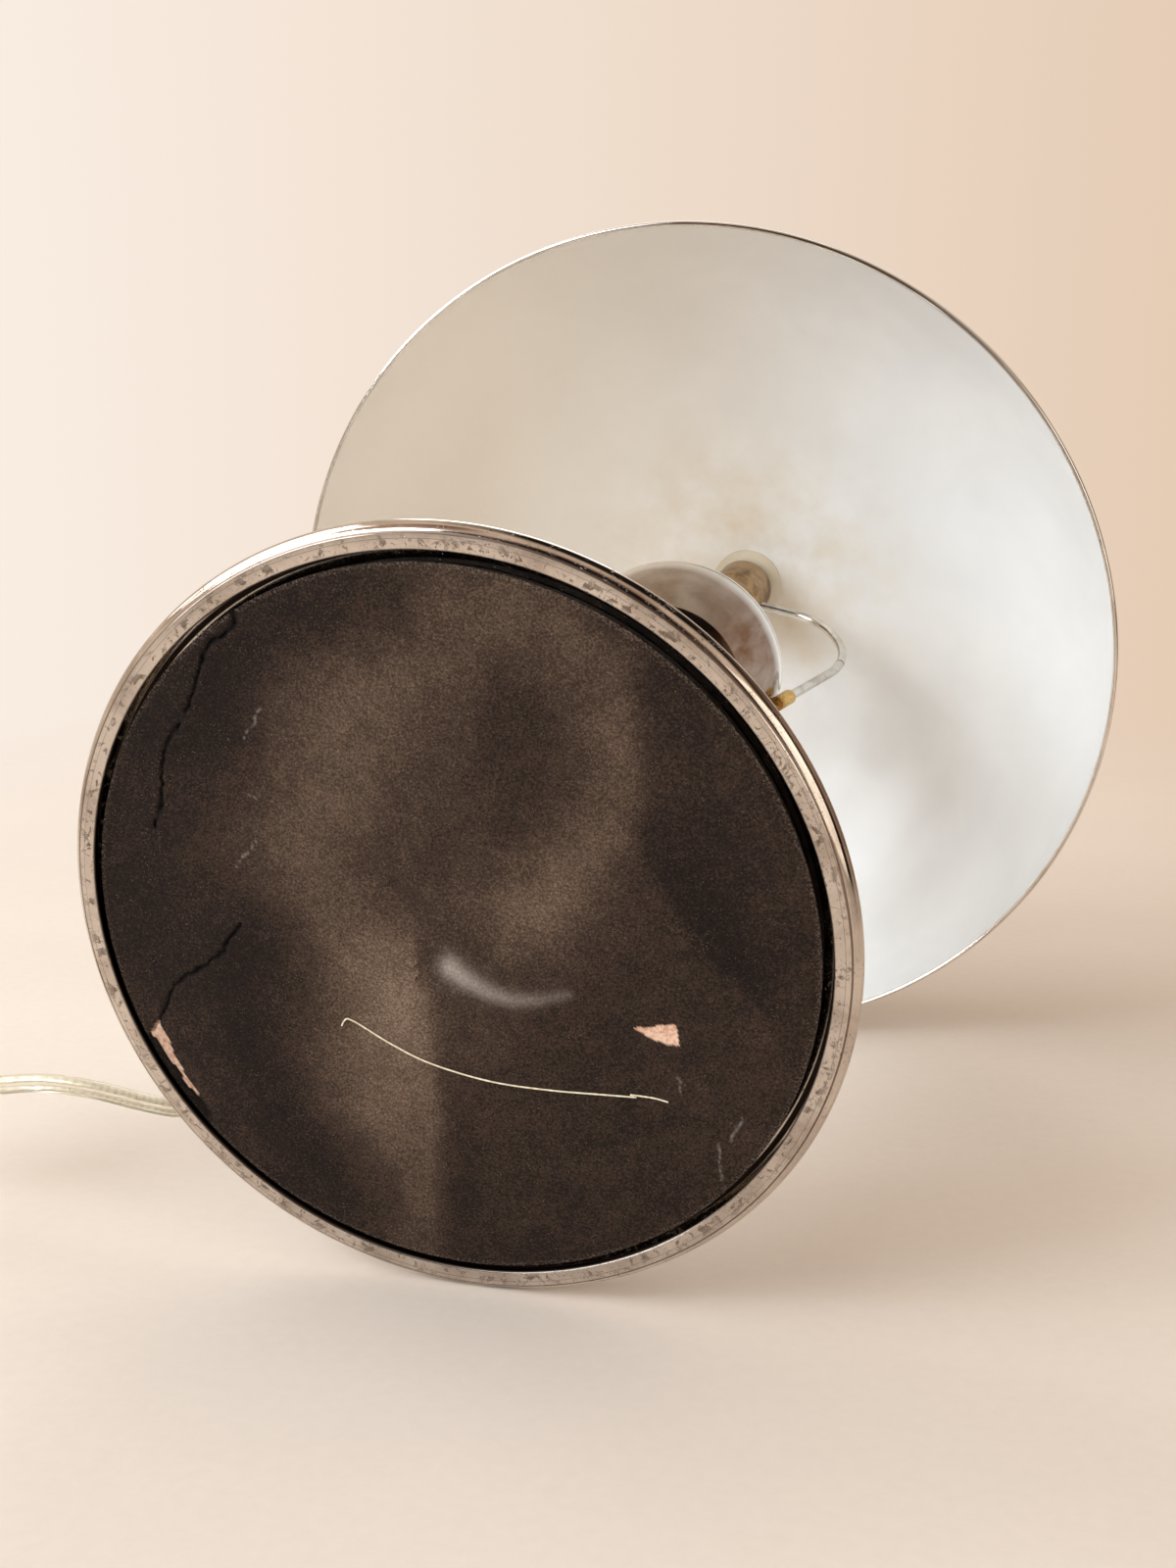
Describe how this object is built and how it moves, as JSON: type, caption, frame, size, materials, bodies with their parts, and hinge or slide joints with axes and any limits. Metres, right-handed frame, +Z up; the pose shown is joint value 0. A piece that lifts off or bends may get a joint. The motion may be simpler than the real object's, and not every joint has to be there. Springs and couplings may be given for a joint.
{
  "type": "mushroom table lamp",
  "caption": "Table lamp with a round weighted foot, a stem with a cup round the bulb, a wire harp, a domed shade on a ball swivel, and a coiled cord with a rocker switch and a plug.",
  "frame": {"origin": "centre of the foot's flat ring, on the surface the lamp stands on", "axes": "+Z up along the stem, towards the knob; the two arms of the harp lie in the XZ plane; the cord leaves the foot towards -X and +Y"},
  "size_m": [0.3641, 0.2786, 0.3407],
  "materials": {
    "foot_chrome": "polished, worn to nickel with black specks on the ring it stands on",
    "cast_weight": "raw casting",
    "pad_board": "black-brown felted board, cracked, creased and dusty",
    "steel_fixings": "zinc plated",
    "plain_brass": "turned",
    "stem_chrome": "polished",
    "cup_chrome": "polished",
    "bakelite": "black moulded",
    "steatite": "off-white ceramic",
    "cap_alloy": "rolled sheet",
    "opal_glass": "opal, semi-gloss",
    "wire_chrome": "bright wire",
    "tarnished_brass": "brown-gold tarnish",
    "nylon": "natural nylon",
    "shade_chrome": "polished chrome outside, cream-white enamel inside",
    "knob_chrome": "polished",
    "cord_rubber": "ivory",
    "cord_plastic": "clear twin flex, yellowed, bright cores showing",
    "switch_plastic": "ivory moulding",
    "rocker_plastic": "ivory moulding",
    "tie_plastic": "white strap",
    "plug_plastic": "ivory moulding",
    "pin_nickel": "nickel plated"
  },
  "bodies": {
    "lamp": {"base_shell": "foot_chrome", "base_weight": "cast_weight", "base_pad": "pad_board", "rod_washer": "steel_fixings", "rod_nut": "plain_brass", "threaded_rod": "plain_brass", "base_collar": "stem_chrome", "stem_tube": "stem_chrome", "cup_collar": "stem_chrome", "cup": "cup_chrome", "holder_nut": "plain_brass", "holder_base": "bakelite", "holder_insert": "steatite", "holder_sleeve": "bakelite", "screw_shell": "plain_brass", "centre_contact": "plain_brass", "terminal_screws": "plain_brass", "harp_arm_right": "wire_chrome", "harp_arm_left": "wire_chrome", "harp_ferrules": "tarnished_brass", "swivel_hub": "tarnished_brass", "swivel_cap": "tarnished_brass", "cord_bush": "cord_rubber", "inner_flex": "cord_plastic", "cord_run": "cord_plastic", "switch_bottom": "switch_plastic", "switch_top": "switch_plastic", "switch_contacts": "plain_brass", "switch_screws": "steel_fixings", "cord_lead": "cord_plastic", "cord_coil": "cord_plastic", "coil_tie": "tie_plastic", "cord_tail": "cord_plastic", "plug_relief": "plug_plastic", "plug_body": "plug_plastic", "plug_pins": "pin_nickel", "pin_sleeves": "plug_plastic"},
    "bulb": {"bulb_cap": "cap_alloy", "bulb_glass": "opal_glass", "bulb_contact": "cap_alloy"},
    "swivel": {"swivel_seat": "nylon"},
    "shade_group": {"ball_stud": "plain_brass", "shade_seat": "steel_fixings", "shade": "shade_chrome", "shade_washer": "steel_fixings"},
    "knob_group": {"knob": "knob_chrome"},
    "rocker": {"switch_rocker": "rocker_plastic"}
  },
  "joints": [
    {"name": "bulb_turn", "type": "hinge", "parent": "lamp", "child": "bulb", "pos_m": [0, 0, 0.2], "axis": [0, 0, 1], "continuous": true},
    {"name": "swivel_turn", "type": "hinge", "parent": "lamp", "child": "swivel", "pos_m": [0, 0, 0.3113], "axis": [0, 0, 1], "continuous": true},
    {"name": "shade_tilt", "type": "hinge", "parent": "swivel", "child": "shade_group", "pos_m": [0, 0, 0.3113], "axis": [1, 0, 0], "range_deg": [-15, 15]},
    {"name": "knob_turn", "type": "hinge", "parent": "shade_group", "child": "knob_group", "pos_m": [0, 0, 0.333], "axis": [0, 0, 1], "continuous": true},
    {"name": "rocker_tip", "type": "hinge", "parent": "lamp", "child": "rocker", "pos_m": [-0.162, 0.086, 0.0126], "axis": [0, 1, 0], "range_deg": [0, 14]}
  ]
}
